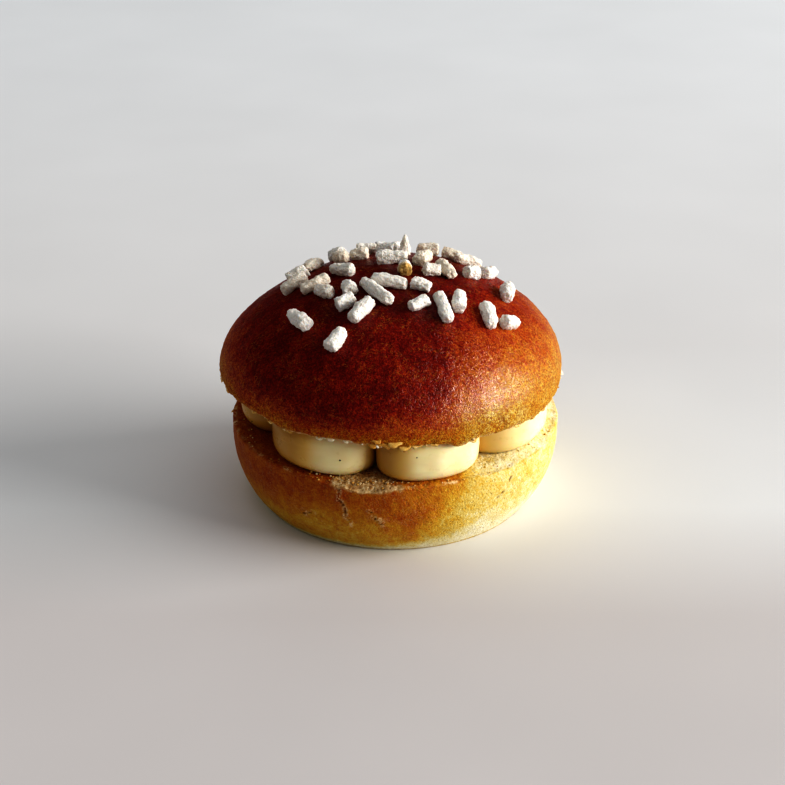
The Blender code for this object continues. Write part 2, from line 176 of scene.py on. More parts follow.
# ---- loose bits
# Flakes at a rim: (bearing, rise above it, length, width, curl down in radians, bake), in mm
UPPER_FLAKES = ((-2, 1.0, 3.4, 1.1, 1.3, 0.5), (-6, 0.5, 2.2, 0.8, 0.9, 0.5), (1, 1.8, 3.0, 1.2, 1.1, 0.4),
                (4, 0.9, 2.6, 1.0, 1.0, 0.42), (-5, 1.6, 2.0, 0.9, 0.9, 0.5), (27, 0.3, 1.8, 0.5, 0.8, 0.3),
                (-52, 0.3, 1.8, 0.5, 0.9, 0.4), (-44, 0.3, 2.2, 0.5, 0.9, 0.35), (-36, 0.3, 2.0, 0.5, 0.9, 0.4),
                (-24, 0.2, 1.8, 0.7, 1.2, 0.12), (-20, 0.2, 1.6, 0.7, 1.3, 0.1), (-15, 0.2, 1.3, 0.6, 1.3, 0.12),
                (8, 0.3, 2.4, 0.5, 1.0, 0.35), (14, 0.3, 2.0, 0.5, 1.0, 0.4), (46, 0.3, 2.2, 0.5, 0.9, 0.3),
                (84, 2.2, 2.6, 0.7, 0.5, 0.12), (-80, 0.5, 2.6, 0.8, 1.1, 0.45), (-72, 0.4, 2.0, 0.7, 1.2, 0.4))
LOWER_FLAKES = ((-12, 0.6, 1.6, 0.6, 0.9, 0.1), (-7, 0.7, 1.4, 0.6, 1.2, 0.05), (-18, 0.8, 1.2, 0.5, 0.8, 0.2),
                (-36, 0.9, 2.4, 0.4, 0.5, 0.3), (-29, 0.9, 2.0, 0.4, 0.6, 0.3), (22, 0.9, 1.2, 0.5, 0.4, 0.2))
LOOSE_FLAKES = 34
LOOSE_FLAKE_BEARINGS = (50, 300)
FLAKE_THICKNESS = 0.14 * MM
FLAKE_SEED = 5
# Crumbs on the upper rim: (bearing, size in mm, bake)
SET_RIM_CRUMBS = ((-4.6, 1.1, -0.3), (-3.4, 0.7, -0.3), (-9.5, 0.4, -0.2), (-13, 0.45, 0.0), (-22, 0.5, 0.1),
                  (11, 0.5, 0.2), (3, 0.5, 0.3))
LEDGE_CRUMBS = 150
LEDGE_REACH = (33.0 * MM, 35.9 * MM)
RIM_CRUMBS = 110
CRUMB_SEED = 8
SET_SPECK = (-18.5, 22.9, 0.44)  # the vanilla seed that stands out: (bearing, height, size in mm)
SPECKS = 9
SPECK_SEED = 3
OUTSIDE = 60 * MM  # well clear of the cake


# ---- the table, light and camera
TABLE_HALF = 4
WINDOW_BEARING = 81
WINDOW_HEIGHT = 19  # degrees above the table
WINDOW_DISTANCE = 2.4
WINDOW_SIZE = (2.0, 0.8)
WINDOW_POWER = 54
WINDOW_COLOUR = (1.0, 0.985, 0.96)
BRIGHT_SIDE = (0.25, 0.45, 0.86)  # the room is brightest overhead and behind, darkest low in front
ROOM_LIGHT = (0.15, 0.47)
ROOM_COLOUR = (0.99, 1.0, 1.01)
EYE_ELEVATION = 26.1
EYE_DISTANCE = 420 * MM
EYE_AIM = (0.45 * MM, 0, 22.7 * MM)
SENSOR_WIDTH = 36
FRAME_PIXELS = 785
FOCAL_PIXELS = 1871.6


def wrapped(degrees):
    return (degrees + 180) % 360 - 180


def bearing_of(x, y):
    return math.degrees(math.atan2(x, -y))


def from_bearing(degrees, reach):
    angle = math.radians(degrees)
    return Vector((reach * math.sin(angle), -reach * math.cos(angle), 0))


def lobed(lobes, degrees):
    return sum(size * math.cos(math.radians(times * (degrees - crest))) for times, size, crest in lobes)


def bell(distance, width):
    """1 in the middle, and next to nothing beyond twice the width."""
    return math.exp(-((distance / width) ** 2))


def rim_wave(waves, degrees):
    return MM * sum(rise * bell(wrapped(degrees - at), half_width) for at, rise, half_width in waves)


def cut_rise(slope, x, y):
    rise, bearing = slope
    return rise * Vector((x, y, 0)).dot(from_bearing(bearing, 1)) / LOWER_RADIUS


def lower_side(height):
    foot_share = 1 - (BASE_RADIUS / LOWER_RADIUS) ** SIDE_POWER
    depth = max(0.0, (LOWER_WIDE_HEIGHT - height) / LOWER_WIDE_HEIGHT)
    return LOWER_RADIUS * (1 - foot_share * depth**SIDE_POWER) ** (1 / SIDE_POWER)


def upper_side(height):
    depth = (UPPER_WIDE_HEIGHT - height) / (UPPER_WIDE_HEIGHT - UPPER_CUT_HEIGHT)
    return UPPER_RADIUS - (UPPER_RADIUS - UPPER_EDGE_RADIUS) * depth**2


def upper_lobe(reach, degrees):
    return lobed(UPPER_LOBES, degrees) * min(1.0, reach / UPPER_RADIUS) ** 4


def dome_share(reach, degrees):
    share = min(1.0, reach / (UPPER_RADIUS + upper_lobe(reach, degrees)))
    return (1 - share**DOME_POWER) ** (1 / DOME_POWER)


def swell(x, y):
    return SWELL_HEIGHT * noise.noise(Vector((x, y, 0)) / SWELL_LENGTH)


def crust_height(x, y):
    lean = CROWN_LEAN * dome_share(math.hypot(x, y), bearing_of(x, y))
    share = dome_share(math.hypot(x - lean, y), bearing_of(x - lean, y))
    return UPPER_WIDE_HEIGHT + (CROWN_HEIGHT - UPPER_WIDE_HEIGHT) * share + swell(x, y) * share


def crust_normal(x, y, step=0.5 * MM):
    slope_x = (crust_height(x + step, y) - crust_height(x - step, y)) / (2 * step)
    slope_y = (crust_height(x, y + step) - crust_height(x, y - step)) / (2 * step)
    return Vector((-slope_x, -slope_y, 1)).normalized()


def smooth(low, high, value):
    """0 below low, 1 above high, and an even S between them."""
    share = min(1.0, max(0.0, (value - low) / (high - low)))
    return share * share * (3 - 2 * share)


def round_the_cake(stops, degrees):
    """A value that runs smoothly round the cake through (bearing, value) stops."""
    places = [(stops[-1][0] - 360, stops[-1][1]), *stops, (stops[0][0] + 360, stops[0][1])]
    degrees = wrapped(degrees)
    for (first, before), (last, after) in zip(places, places[1:]):
        if first <= degrees <= last:
            return before + (after - before) * smooth(first, last, degrees)
    return stops[0][1]


def lumpy(place, length, seed=0.0):
    """Smooth noise of this wavelength, about -1 to 1."""
    return noise.noise(place / length + Vector((seed, seed * 0.7, -seed)))


def layered(layers, place):
    """Noise in layers of (height, length, seed)."""
    return sum(height * lumpy(place, length, seed) for height, length, seed in layers)


def torn_edge(tears, x, y, z):
    """The uneven height of a cut's edge: crags, and the finer tears."""
    return RIM_CRAG * noise.noise(Vector((x, y, z)) / RIM_CRAG_LENGTH) + layered(tears, Vector((x, y, 0)))


def ridged(place, length, seed=0.0):
    """Sharp crests in a net, 0 to 1."""
    return 1 - min(1.0, abs(lumpy(place, length, seed)) * 2.6)


def nearest(chains, degrees, height, reach):
    """How far a spot on the side lies from the nearest of these chains of (bearing, height in mm)."""
    span = math.radians(1) * reach
    spot = Vector((degrees * span, height))
    found = 1.0
    for chain in chains:
        if abs(wrapped(degrees - chain[0][0])) > CHAIN_SPAN:
            continue
        for (turn_a, rise_a), (turn_b, rise_b) in zip(chain, chain[1:]):
            a, b = Vector((turn_a * span, rise_a * MM)), Vector((turn_b * span, rise_b * MM))
            share = min(1.0, max(0.0, (spot - a).dot(b - a) / (b - a).length_squared))
            found = min(found, (spot - a - (b - a) * share).length)
    return found


# ---- making meshes
def turned(profile, steps):
    """A closed body of revolution about Z from (radius, height) points that run from axis to axis."""
    body = bmesh.new()
    points = [body.verts.new((radius, 0, height)) for radius, height in profile]
    edges = [body.edges.new(pair) for pair in zip(points, points[1:])]
    bmesh.ops.spin(body, geom=points + edges, cent=(0, 0, 0), axis=(0, 0, 1),
                   angle=2 * math.pi, steps=steps, use_merge=True)
    bmesh.ops.remove_doubles(body, verts=body.verts, dist=0.001 * MM)
    bmesh.ops.recalc_face_normals(body, faces=body.faces)
    return body


def thing(name, data):
    """A new object of this data, in the scene."""
    made = bpy.data.objects.new(name, data)
    bpy.context.scene.collection.objects.link(made)
    return made


def piece_from(name, body, finish, stands_for=()):
    """One finished piece that rides on the cake."""
    mesh = bpy.data.meshes.new(name)
    body.transform(Matrix.Translation((CENTRE_SHIFT, 0, 0)))
    body.to_mesh(mesh)
    body.free()
    mesh.shade_smooth()
    mesh.materials.append(finish)
    piece = thing(name, mesh)
    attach(piece, "root")
    if stands_for:
        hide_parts(*stands_for)


def piece_of_bits(name, bits, finish):
    """One piece of many small bodies, from (body, its place on the cake, bake)."""
    whole = bmesh.new()
    bake, = marks(whole, "bake")
    for bit, placing, tint in bits:
        for point in join(whole, bit, placing):
            point[bake] = tint
    whole.transform(Matrix.Translation((-CENTRE_SHIFT, 0, 0)))  # their places already have the shift
    piece_from(name, whole, finish)


def join(whole, bit, placing):
    """Adds a small body to a joined one, and gives back its points there."""
    bit.transform(placing)
    shape = bpy.data.meshes.new("bit")
    bit.to_mesh(shape)
    bit.free()
    before = len(whole.verts)
    whole.from_mesh(shape)
    bpy.data.meshes.remove(shape)
    whole.verts.ensure_lookup_table()
    return whole.verts[before:]


def skin_of(body):
    """The finished surface, as it will stand, for small things that lie on it."""
    placed = body.copy()
    placed.transform(Matrix.Translation((CENTRE_SHIFT, 0, 0)))
    skin = BVHTree.FromBMesh(placed)
    placed.free()
    return skin


def marks(body, *names):
    """Float marks on a mesh in the making, which its finish reads by name."""
    return [body.verts.layers.float.new(name) for name in names]


def along(start, end, count):
    return [start + (end - start) * step / count for step in range(count)]


# ---- the finishes
class Finish:
    """A material being mixed: its nodes, its shader and the place on the cake that they read."""

    def __init__(self, name):
        self.material = bpy.data.materials.new(name)
        self.material.use_nodes = True
        self.tree = self.material.node_tree
        self.shader = self.tree.nodes["Principled BSDF"]
        self.place = self.tree.nodes.new("ShaderNodeTexCoord").outputs["Object"]

    def put(self, socket, value):
        """Links a socket to another node's output, or sets it to a value."""
        if isinstance(value, bpy.types.NodeSocket):
            self.tree.links.new(value, socket)
        elif value is not None:
            socket.default_value = value

    def node(self, kind, inputs, **settings):
        made = self.tree.nodes.new("ShaderNode" + kind)
        for name, value in settings.items():
            setattr(made, name, value)
        for name, value in inputs.items():
            self.put(made.inputs[name], value)
        return made

    def mark(self, name, output="Fac"):
        return self.node("Attribute", {}, attribute_name=name).outputs[output]

    def stretched(self, *scale):
        return self.node("Mapping", {"Vector": self.place, "Scale": scale}).outputs["Vector"]

    def cloud(self, size, detail=3.0, rough=0.55, warp=0.0, place=None):
        """Noise with lumps of this size, 0 to 1."""
        return self.node("TexNoise", {"Vector": place or self.place, "Scale": 1 / size, "Detail": detail,
                                      "Roughness": rough, "Distortion": warp}).outputs["Fac"]

    def cells(self, size, place=None):
        """How far each spot is from the middle of its cell, in cells of this size."""
        return self.node("TexVoronoi", {"Vector": place or self.place, "Scale": 1 / size}).outputs["Distance"]

    def sum(self, operation, first, second=0.5):
        return self.node("Math", {0: first, 1: second}, operation=operation).outputs[0]

    def times(self, first, second):
        return self.sum("MULTIPLY", first, second)

    def off_middle(self, pattern):
        """How far a pattern is from its middle: 0 along wandering lines."""
        return self.sum("ABSOLUTE", self.sum("SUBTRACT", pattern))

    def varied(self, value, *patterns):
        """A value that goes up and down with each (pattern, weight)."""
        for pattern, weight in patterns:
            value = self.sum("ADD", value, self.times(self.sum("SUBTRACT", pattern), weight))
        return value

    def span(self, value, low, high, start=0.0, end=1.0):
        """Maps low..high smoothly to start..end."""
        made = self.node("MapRange", {"Value": value, "From Min": low, "From Max": high, "To Min": start,
                                      "To Max": end}, interpolation_type="SMOOTHSTEP")
        return made.outputs["Result"]

    def hairlines(self, size, width):
        """Thin wandering lines, 1 on the line and 0 beside it."""
        return self.span(self.off_middle(self.cloud(size, 4, 0.6, 1.2)), width, 0)

    def shades(self, value, *stops):
        """A colour for the value, from (position, colour) stops."""
        made = self.node("ValToRGB", {"Fac": value})
        elements = made.color_ramp.elements
        while len(elements) < len(stops):
            elements.new(0.5)
        for element, (position, colour) in zip(elements, stops):
            element.position = position
            element.color = (*colour, 1)
        return made.outputs["Color"]

    def mixed(self, share, first, second, how="MIX"):
        made = self.node("Mix", {}, data_type="RGBA", blend_type=how)
        self.put(made.inputs["Factor"], share)
        for socket, value in (("A", first), ("B", second)):
            sockets = [s for s in made.inputs if s.name == socket and s.type == "RGBA"]
            self.put(sockets[0], (*value, 1) if isinstance(value, tuple) else value)
        return [s for s in made.outputs if s.type == "RGBA"][0]

    def relief(self, height, depth, strength=1.0, over=None):
        """Bump of this real depth in metres."""
        made = self.node("Bump", {"Height": height, "Distance": depth, "Strength": strength})
        if over is not None:
            self.put(made.inputs["Normal"], over)
        return made.outputs["Normal"]

    def done(self, **sockets):
        names = {"colour": "Base Color", "rough": "Roughness", "normal": "Normal", "shine": "Specular IOR Level",
                 "coat": "Coat Weight", "coat_rough": "Coat Roughness", "coat_normal": "Coat Normal",
                 "coat_ior": "Coat IOR", "glow_through": "Subsurface Weight", "depth": "Subsurface Scale",
                 "spread": "Subsurface Radius"}
        for name, value in sockets.items():
            self.put(self.shader.inputs[names[name]], value)
        return self.material


PALE_DOUGH = (0.64, 0.48, 0.16)
GOLD = (0.58, 0.37, 0.052)
AMBER = (0.56, 0.24, 0.020)
RUSSET = (0.48, 0.10, 0.008)
MAHOGANY = (0.32, 0.020, 0.004)
BLACK_BROWN = (0.17, 0.005, 0.002)
FLAKE_PALE = (0.80, 0.60, 0.34)
CRAZE_GOLD = (0.62, 0.31, 0.05)
# Painted shade: the colour that the furrows of the crust's net are darkened to
FURROW_PAINTED_SHADE = (0.44, 0.19, 0.09)
# Painted shade: the colours that the sunk creases and crack floors are darkened to
UPPER_CREASE_PAINTED_SHADE = (0.20, 0.05, 0.012)
LOWER_CREASE_PAINTED_SHADE = (0.16, 0.06, 0.015)
PORE_BROWN = (0.36, 0.20, 0.06)
# Painted shade on the cream: the custard colours that it is darkened to
PAINTED_SHADE_CUSTARD = (0.76, 0.50, 0.14)
DARKEST_PAINTED_SHADE_CUSTARD = (0.42, 0.20, 0.03)


def browned_crust():
    """Egg-washed crust: black-brown on the crown to gold at the rim, finely netted, with a broken gloss."""
    mix = Finish("browned_crust")
    flow = mix.mark("flow", "Vector")
    speckle = mix.cloud(0.45 * MM, 2, 0.6)
    grain = mix.cloud(1.1 * MM, 3, 0.6, 0.6, flow)
    blotch = mix.cloud(5 * MM, 3, 0.5)
    bake = mix.varied(mix.mark("bake"), (speckle, 0.84), (grain, 0.40), (blotch, 0.46))
    colour = mix.shades(bake, (0.0, PALE_DOUGH), (0.14, GOLD), (0.34, AMBER), (0.56, RUSSET), (0.78, MAHOGANY),
                        (1.0, BLACK_BROWN))
    net = mix.off_middle(mix.cloud(0.62 * MM, 2, 0.6, 0.9))
    # Painted shade: the crust is darkened along the low lines of the net, where its bump sinks
    colour = mix.mixed(mix.span(net, 0.085, 0.0, 0.0, 0.95), colour, FURROW_PAINTED_SHADE, "MULTIPLY")
    crazed = mix.span(mix.cloud(4 * MM, 2), 0.42, 0.60, 0.0, 0.6)
    colour = mix.mixed(mix.times(mix.hairlines(1.9 * MM, 0.015), crazed), colour, CRAZE_GOLD)
    pore = mix.span(mix.cells(0.85 * MM, mix.stretched(1.1, 0.9, 1.0)), 0.24, 0.10)
    colour = mix.mixed(mix.times(pore, 0.45), colour, RUSSET, "MULTIPLY")
    ragged = mix.span(mix.cloud(0.5 * MM, 3, 0.65), 0.42, 0.52)
    colour = mix.mixed(mix.times(mix.mark("flaky"), ragged), colour, FLAKE_PALE)
    # Painted shade: the crust is darkened in its sunk creases
    colour = mix.mixed(mix.mark("crease"), colour, UPPER_CREASE_PAINTED_SHADE)
    wrinkle = mix.off_middle(mix.cloud(1.15 * MM, 3, 0.6, 1.2, flow))
    skin = mix.relief(net, 0.27 * MM, 0.9, mix.relief(wrinkle, 0.13 * MM, 0.7))
    bumps = mix.relief(mix.cloud(0.36 * MM, 3, 0.6), 0.16 * MM, 0.9, skin)
    washed = mix.mark("gloss")
    rough = mix.sum("SUBTRACT", 0.68, mix.times(washed, mix.span(speckle, 0.3, 0.7, 0.08, 0.24)))
    return mix.done(colour=colour, rough=rough, normal=bumps, shine=0.2, coat=washed, coat_rough=0.12,
                    coat_normal=skin, coat_ior=1.72)


def golden_crust():
    """The crust of the lower half: brown under the rim, gold lower down and pale at the foot."""
    mix = Finish("golden_brioche")
    speckle = mix.cloud(0.45 * MM, 3, 0.65)
    mottle = mix.cloud(1.7 * MM, 4, 0.6, 0.6)
    blotch = mix.cloud(5 * MM, 4, 0.6, 0.8)
    bake = mix.varied(mix.mark("bake"), (speckle, 0.60), (mottle, 0.46), (blotch, 0.44))
    bake = mix.sum("ADD", mix.times(bake, 0.8), 0.2)  # the palest shades lie below nought
    crust = mix.shades(bake, (0.06, (0.85, 0.79, 0.60)), (0.2, (0.77, 0.67, 0.36)), (0.30, (0.72, 0.56, 0.18)),
                       (0.42, (0.66, 0.42, 0.055)), (0.55, (0.58, 0.27, 0.022)), (0.71, (0.47, 0.14, 0.010)),
                       (0.87, (0.34, 0.055, 0.005)), (1.0, (0.20, 0.02, 0.003)))
    pore = mix.span(mix.cells(0.8 * MM, mix.stretched(1.0, 1.15, 0.9)), 0.26, 0.10)
    crust = mix.mixed(mix.times(pore, mix.span(mottle, 0.35, 0.65, 0.2, 0.8)), crust, PORE_BROWN)
    crumb = mix.shades(mix.cloud(0.7 * MM, 4, 0.65), (0.32, (0.34, 0.15, 0.05)), (0.5, (0.60, 0.38, 0.16)),
                       (0.66, (0.86, 0.72, 0.48)))
    colour = mix.mixed(mix.mark("crumb"), crust, crumb)
    craze = mix.times(mix.hairlines(2.1 * MM, 0.012), mix.span(blotch, 0.45, 0.55, 0.0, 0.4))
    colour = mix.mixed(craze, colour, FLAKE_PALE)
    ragged = mix.span(mix.cloud(0.55 * MM, 3, 0.65), 0.42, 0.52)
    colour = mix.mixed(mix.times(mix.mark("flaky"), ragged), colour, FLAKE_PALE)
    # Painted shade: the crust is darkened in its sunk creases and crack floors
    colour = mix.mixed(mix.mark("crease"), colour, LOWER_CREASE_PAINTED_SHADE)
    pit = mix.span(mix.cells(0.9 * MM), 0.05, 0.4)
    fine = mix.cloud(0.42 * MM, 4, 0.65)
    bumps = mix.relief(fine, 0.28 * MM, 0.9, mix.relief(pit, 0.18 * MM, 0.6))
    return mix.done(colour=colour, rough=0.60, normal=bumps, shine=0.28)


def piped_cream():
    """Pastry cream: smooth, pale yellow, moist, with light in its depth."""
    mix = Finish("piped_cream")
    tint = mix.cloud(5 * MM, 3, 0.5)
    colour = mix.shades(tint, (0.3, (0.86, 0.74, 0.42)), (0.7, (0.91, 0.82, 0.53)))
    # Painted shade: the cream turns to darker custard by the mark of where it lies in shade
    painted_shade = mix.mark("painted_shade")
    colour = mix.mixed(mix.span(painted_shade, 0, 0.6), colour, PAINTED_SHADE_CUSTARD)
    colour = mix.mixed(mix.span(painted_shade, 0.4, 1), colour, DARKEST_PAINTED_SHADE_CUSTARD)
    film = mix.cloud(1.2 * MM, 3, 0.55, 0.3, mix.stretched(0.5, 0.5, 1.6))
    bumps = mix.relief(film, 0.07 * MM, 0.5)
    rough = mix.span(mix.cloud(2.5 * MM, 3, 0.6), 0.3, 0.7, 0.26, 0.44)
    return mix.done(colour=colour, rough=rough, normal=bumps, shine=0.4, glow_through=0.35,
                    spread=(1.0, 0.5, 0.16), depth=1.8 * MM)


def pearl_sugar():
    """White sugar pressed into nibs: fused crystals, matt, with painted shade as warm dark specks between the
    crystals.
    """
    mix = Finish("pearl_sugar")
    patch = mix.cloud(0.62 * MM, 4, 0.68)
    # Painted shade: the darkest stops paint the shadows between the crystals as warm dark specks
    white_and_painted_shade = mix.shades(patch, (0.24, (0.50, 0.38, 0.28)), (0.34, (0.88, 0.80, 0.70)),
                       (0.52, (0.99, 0.96, 0.91)))
    tinted = mix.shades(patch, (0.3, (0.50, 0.27, 0.06)), (0.7, (0.84, 0.64, 0.30)))
    colour = mix.mixed(mix.mark("caramel"), white_and_painted_shade, tinted)
    fine = mix.cloud(0.34 * MM, 4, 0.7)
    crystal = mix.cells(0.5 * MM)
    bumps = mix.relief(fine, 0.36 * MM, 1.0, mix.relief(crystal, 0.24 * MM, 0.8))
    return mix.done(colour=colour, rough=0.55, normal=bumps, shine=0.3, glow_through=0.35,
                    spread=(1.0, 0.85, 0.7), depth=0.7 * MM)


def torn_dough():
    """Thin torn bits of crust and crumb: browner where they are crust, pale where they are crumb."""
    mix = Finish("torn_dough")
    grain = mix.cloud(0.4 * MM, 4, 0.65)
    bake = mix.varied(mix.mark("bake"), (grain, 0.8))
    colour = mix.shades(bake, (0.0, (0.93, 0.87, 0.74)), (0.16, (0.86, 0.74, 0.50)), (0.34, (0.76, 0.52, 0.17)),
                        (0.6, (0.58, 0.26, 0.035)), (1.0, (0.30, 0.06, 0.010)))
    return mix.done(colour=colour, rough=0.6, normal=mix.relief(grain, 0.15 * MM, 0.8), shine=0.3)


def vanilla():
    """The near-black skin of vanilla seeds."""
    mix = Finish("vanilla_seed")
    colour = mix.shades(mix.cloud(0.1 * MM, 2), (0.3, (0.012, 0.007, 0.004)), (0.7, (0.05, 0.025, 0.012)))
    return mix.done(colour=colour, rough=0.5)


# ---- the upper half
def upper_profile():
    low = UPPER_CUT_HEIGHT
    edge = UPPER_EDGE_RADIUS - RIM_ROUNDING
    radii = along(0, UPPER_HIDDEN, 6) + along(UPPER_HIDDEN, CREAM_RADIUS, 20) + along(CREAM_RADIUS, edge, 6)
    profile = [(radius, low) for radius in radii]
    profile += [(edge + RIM_ROUNDING * math.sin(angle), low + RIM_ROUNDING * (1 - math.cos(angle)))
                for angle in along(0, math.pi / 2, 3)]
    profile += [(upper_side(height), height) for height in along(low + RIM_ROUNDING, UPPER_WIDE_HEIGHT, 5)]
    for step in range(DOME_STEPS):
        angle = math.pi / 2 * step / DOME_STEPS
        rise = (CROWN_HEIGHT - UPPER_WIDE_HEIGHT) * math.sin(angle) ** (2 / DOME_POWER)
        profile.append((UPPER_RADIUS * math.cos(angle) ** (2 / DOME_POWER), UPPER_WIDE_HEIGHT + rise))
    return profile + [(0, CROWN_HEIGHT)]


def upper_spot(x, y, z):
    """Where a point of the plain turned shape lies on the uneven upper half."""
    reach = math.hypot(x, y)
    degrees = bearing_of(x, y)
    spot = from_bearing(degrees, reach + upper_lobe(reach, degrees))
    if z >= UPPER_WIDE_HEIGHT:
        spot.z = crust_height(spot.x, spot.y)
        return spot
    near_rim = min(1.0, max(0.0, (reach - CREAM_RADIUS) / (UPPER_EDGE_RADIUS - CREAM_RADIUS)))
    fade = (UPPER_WIDE_HEIGHT - z) / (UPPER_WIDE_HEIGHT - UPPER_CUT_HEIGHT)
    lift = rim_wave(UPPER_RIM_WAVES, degrees) + torn_edge(UPPER_TEARS, x, y, z)
    spot.z = z + (near_rim * lift + cut_rise(UPPER_CUT_SLOPE, x, y)) * fade
    return spot + from_bearing(degrees, 1) * fade * 0.2 * MM * lumpy(spot, 1.2 * MM, 9)


def upper_bake(degrees, rise, flank):
    """How brown the upper half is here: its rim's own bake, darker with the rise towards the crown."""
    rim = round_the_cake(UPPER_RIM_BAKE, degrees)
    top = CROWN_BAKE + (FLANK_BAKE - CROWN_BAKE) * flank
    return rim + (top - rim) * smooth(0, 2 * round_the_cake(UPPER_GOLD, degrees) * MM, rise)


def upper_crust(finish):
    body = turned(upper_profile(), ROUND_STEPS)
    bake, crease, gloss, flaky = marks(body, "bake", "crease", "gloss", "flaky")
    flow = body.verts.layers.float_vector.new("flow")
    crust = []  # every point but those of the cut face
    for point in body.verts:
        x, y, z = point.co
        reach = math.hypot(x, y)
        degrees = bearing_of(x, y)
        spot = point.co = upper_spot(x, y, z)
        flank = smooth(*CROWN_REACH, reach)
        above = z - UPPER_CUT_HEIGHT
        rise = spot.z - UPPER_CUT_HEIGHT if above > 0.01 * MM else 0
        point[bake] = upper_bake(degrees, rise, flank)
        point[gloss] = round_the_cake(EGG_WASH, degrees) * smooth(1.5 * MM, 6 * MM, rise)
        if above > 0.01 * MM:
            crust.append(point)
            patchy = smooth(-0.35, 0.1, lumpy(spot, 3.5 * MM, 41))
            point[flaky] = smooth(0.75 * MM, 0.15 * MM, above) * patchy
        # the grain of the skin runs down the sides and turns even on the crown
        around = Vector((spot.x, spot.y, 0)) * (CROWN_REACH[1] / max(reach, MM))
        point[flow] = spot.lerp(Vector((around.x, around.y, spot.z * 0.7)), flank)
    body.normal_update()
    for point in crust:
        spot = point.co
        fade = smooth(UPPER_CUT_HEIGHT, UPPER_WIDE_HEIGHT + 2 * MM, spot.z)
        lines = ridged(point[flow], 1.2 * MM, 3)
        lumps = 0.07 * lumpy(spot, 1.2 * MM, 8) + 0.12 * lumpy(spot, 4 * MM, 2) * fade
        gap = nearest(UPPER_CREASES, bearing_of(spot.x, spot.y), spot.z, math.hypot(spot.x, spot.y))
        point[crease] = bell(gap, CRACK_WIDTH) * (0.5 + 0.5 * lumpy(spot, 0.9 * MM, 2))
        point.co = spot + point.normal * (WRINKLE * (lines - 0.5) + lumps - UPPER_CREASE * point[crease]) * MM
    skin = skin_of(body)
    piece_from("upper_crust", body, finish, ["upper_half"])
    return skin


# ---- the sugar
def scattered_grains(rng):
    for step in range(SCATTER_STEPS):
        reach = CAP_REACH * math.sqrt((step + 0.5) / SCATTER_STEPS)
        degrees = wrapped(math.degrees(step * GOLDEN_ANGLE))
        nudge = from_bearing(rng.uniform(-180, 180), rng.uniform(0, SCATTER_JITTER))
        spot = from_bearing(degrees, reach) + nudge
        yield spot, bearing_of(spot.x, spot.y), rng.uniform(0, 180), rng.triangular(*GRAIN_LENGTH)


def on_crust(spot, along_axis, height):
    up = crust_normal(spot.x, spot.y)
    centre = Vector((spot.x, spot.y, crust_height(spot.x, spot.y))) + up * height
    side = up.cross(along_axis) if abs(up.dot(along_axis)) < 0.9 else Vector((1, 0, 0)).cross(along_axis)
    axes = Matrix((along_axis, side.normalized(), along_axis.cross(side).normalized())).transposed()
    return Matrix.Translation(centre) @ axes.to_4x4()


def lying(spot, degrees, turn, girth):
    up = crust_normal(spot.x, spot.y)
    downhill = from_bearing(degrees, 1)
    downhill = (downhill - up * downhill.dot(up)).normalized()
    across = up.cross(downhill)
    along_axis = downhill * math.cos(math.radians(turn)) + across * math.sin(math.radians(turn))
    return on_crust(spot, along_axis, girth * (0.5 - GRAIN_SUNK))


def ends_of(grain_frame, length):
    half = grain_frame.col[0].to_3d() * length * 0.36
    return grain_frame.translation - half, grain_frame.translation + half


def lies_clear(grain_frame, length, laid):
    return all((a - b).length > GRAIN_SPACING
               for other, other_length, _ in laid
               for a in (*ends_of(grain_frame, length), grain_frame.translation)
               for b in (*ends_of(other, other_length), other.translation))


def laid_grains():
    rng = random.Random(GRAIN_SEED)
    laid = []
    for bearing, reach, turn, length in SET_GRAINS:
        girth = GRAIN_GIRTH * rng.uniform(0.92, 1.1)
        laid.append((lying(from_bearing(bearing, reach * MM), bearing, turn, girth), length * MM, girth))
    bearing, reach, length = STANDING_GRAIN
    spot = from_bearing(bearing, reach * MM)
    standing = on_crust(spot, crust_normal(spot.x, spot.y), (length / 2 - 0.8) * MM)
    laid.append((standing, length * MM, GRAIN_GIRTH * 0.85))
    for spot, degrees, turn, length in scattered_grains(rng):
        girth = GRAIN_GIRTH * rng.uniform(0.82, 1.1)
        grain_frame = lying(spot, degrees, turn, girth)
        if abs(degrees) > SCATTER_BEARING and lies_clear(grain_frame, length, laid):
            laid.append((grain_frame, length, girth))
    return laid


